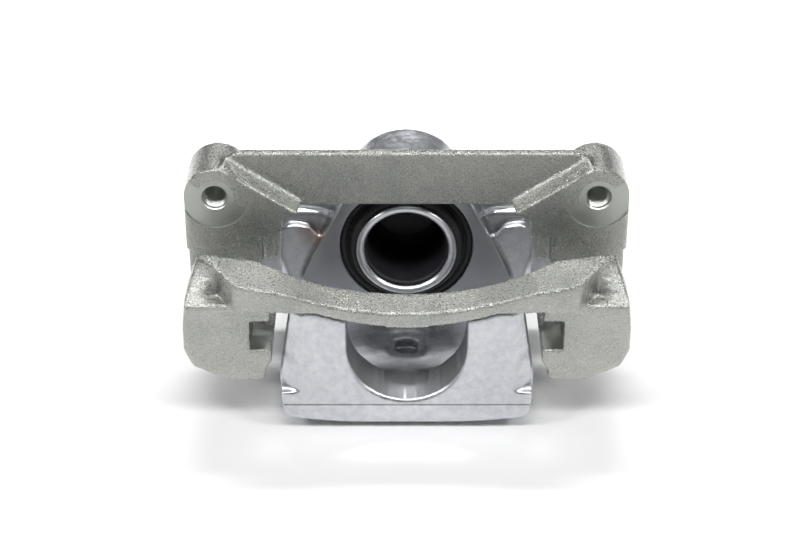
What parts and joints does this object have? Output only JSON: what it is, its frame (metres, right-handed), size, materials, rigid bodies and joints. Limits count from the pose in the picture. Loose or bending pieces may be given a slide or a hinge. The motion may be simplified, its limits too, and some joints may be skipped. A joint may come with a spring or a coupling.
{
  "type": "floating brake caliper",
  "caption": "Single-piston floating disc brake caliper with its cast bracket, guide pins, rubber boots and bleed screw.",
  "frame": {"origin": "half way between the two mounting holes, in the plane of the ears' inboard faces that bolt to the knuckle", "axes": "+X along the disc's rim, through both mounting holes; +Y inboard, along the piston's axis into the closed end of the cylinder; +Z towards the wheel hub"},
  "size_m": [0.2072, 0.1495, 0.1125],
  "materials": {
    "zinc_iron": "zinc-plated casting, sparkling grain",
    "cast_aluminium": "blasted casting with machined faces",
    "chromed_steel": "ground and plated",
    "plated_steel": "zinc-plated, turned",
    "rubber": "matt moulded"
  },
  "bodies": {
    "bracket": {"bracket": "zinc_iron"},
    "caliper": {"caliper_housing": "cast_aluminium", "piston_seal": "rubber", "dust_boot": "rubber", "guide_pin_damper": "rubber", "guide_pin_left": "plated_steel", "guide_pin_boot_left": "rubber", "guide_pin_bolt_left": "plated_steel", "guide_pin_right": "plated_steel", "guide_pin_boot_right": "rubber", "guide_pin_bolt_right": "plated_steel"},
    "piston": {"piston": "chromed_steel"},
    "bleeder": {"bleeder_screw": "plated_steel"},
    "bleeder_cap": {"bleeder_cap": "rubber"}
  },
  "joints": [
    {"name": "caliper_slide", "type": "slide", "parent": "bracket", "child": "caliper", "axis": [0, 1, 0], "range_m": [-0.005, 0.006], "deforming": ["guide_pin_boot_left", "guide_pin_boot_right"]},
    {"name": "piston_slide", "type": "slide", "parent": "caliper", "child": "piston", "axis": [0, -1, 0], "range_m": [-0.003, 0.02], "deforming": ["dust_boot"]},
    {"name": "bleeder_turn", "type": "hinge", "parent": "caliper", "child": "bleeder", "pos_m": [0, 0.044, -0.0371], "axis": [-0.9397, 0, 0.342], "range_deg": [0, 360]},
    {"name": "bleeder_cap_pull", "type": "slide", "parent": "bleeder", "child": "bleeder_cap", "axis": [-0.9397, 0, 0.342], "range_m": [0, 0.014]}
  ]
}
